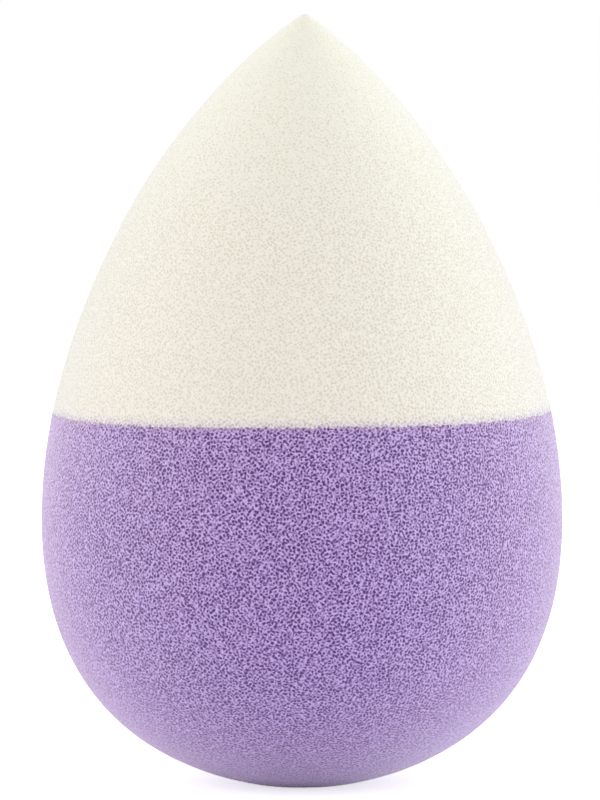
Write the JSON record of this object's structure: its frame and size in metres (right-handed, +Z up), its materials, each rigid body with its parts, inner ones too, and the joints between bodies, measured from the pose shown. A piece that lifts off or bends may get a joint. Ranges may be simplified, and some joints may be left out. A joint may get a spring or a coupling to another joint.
{
  "type": "makeup sponge",
  "caption": "Teardrop makeup sponge of open-cell foam: a pointed ivory tip glued to a round lilac base that stands on a small flat face.",
  "frame": {"origin": "centre of the small flat face that the sponge rests on", "axes": "+Z runs up the sponge's axis, from the resting face to the tip; the sponge is round about +Z, and the picture looks along +Y"},
  "size_m": [0.0406, 0.0406, 0.06],
  "materials": {
    "ivory_foam": "dry open-cell polyurethane foam, matte, ivory, with fine pores",
    "lilac_foam": "dry open-cell polyurethane foam, matte, lilac, with fine pores that read darker than the skin between them",
    "glue_film": "soft, dull, thin polyurethane glue"
  },
  "bodies": {
    "root": {"tip_foam": "ivory_foam", "bond_film": "glue_film", "base_foam": "lilac_foam"}
  },
  "joints": []
}
